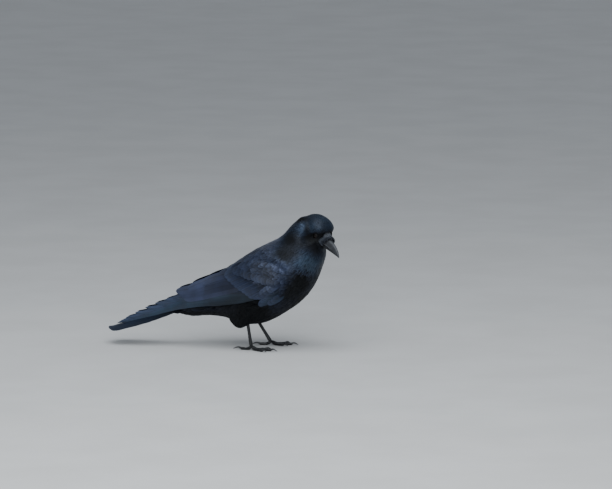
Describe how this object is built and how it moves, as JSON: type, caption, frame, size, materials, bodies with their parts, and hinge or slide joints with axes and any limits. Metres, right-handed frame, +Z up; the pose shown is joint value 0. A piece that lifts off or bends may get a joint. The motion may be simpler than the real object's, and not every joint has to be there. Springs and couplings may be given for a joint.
{
  "type": "carrion crow",
  "caption": "Life-size still carrion crow standing on both feet, wings folded over the tail, crown feathers raised and head turned to its right and lowered.",
  "frame": {"origin": "centre of the bird's bounding box in plan, on the ground under the soles", "axes": "+X the way the bird's body faces, +Y its left side, +Z up"},
  "size_m": [0.4216, 0.1306, 0.2409],
  "materials": {
    "plumage": "black body feathers with a slate-blue to violet gloss above and duller black below",
    "flight": "black flight and tail feathers with a blue-grey silky gloss and teal tints along their edges",
    "bill": "dark grey horn, satin, paler along the ridge and the cutting edge",
    "eye": "very dark brown iris and black pupil under a wet clear cornea",
    "foot": "black scaly skin with satin scutes",
    "claw": "black horn, smooth and slightly glossy"
  },
  "bodies": {
    "root": {"head": "plumage", "neck": "plumage", "trunk": "plumage", "bill_upper": "bill", "bill_lower": "bill", "tail": "flight", "eye_right": "eye", "wing_right": "flight", "primaries_right": "flight", "eye_left": "eye", "wing_left": "flight", "primaries_left": "flight", "thigh_right": "plumage", "tarsus_right": "foot", "toe_right_1": "foot", "claw_right_1": "claw", "toe_right_2": "foot", "claw_right_2": "claw", "toe_right_3": "foot", "claw_right_3": "claw", "toe_right_4": "foot", "claw_right_4": "claw", "thigh_left": "plumage", "tarsus_left": "foot", "toe_left_1": "foot", "claw_left_1": "claw", "toe_left_2": "foot", "claw_left_2": "claw", "toe_left_3": "foot", "claw_left_3": "claw", "toe_left_4": "foot", "claw_left_4": "claw"}
  },
  "joints": []
}
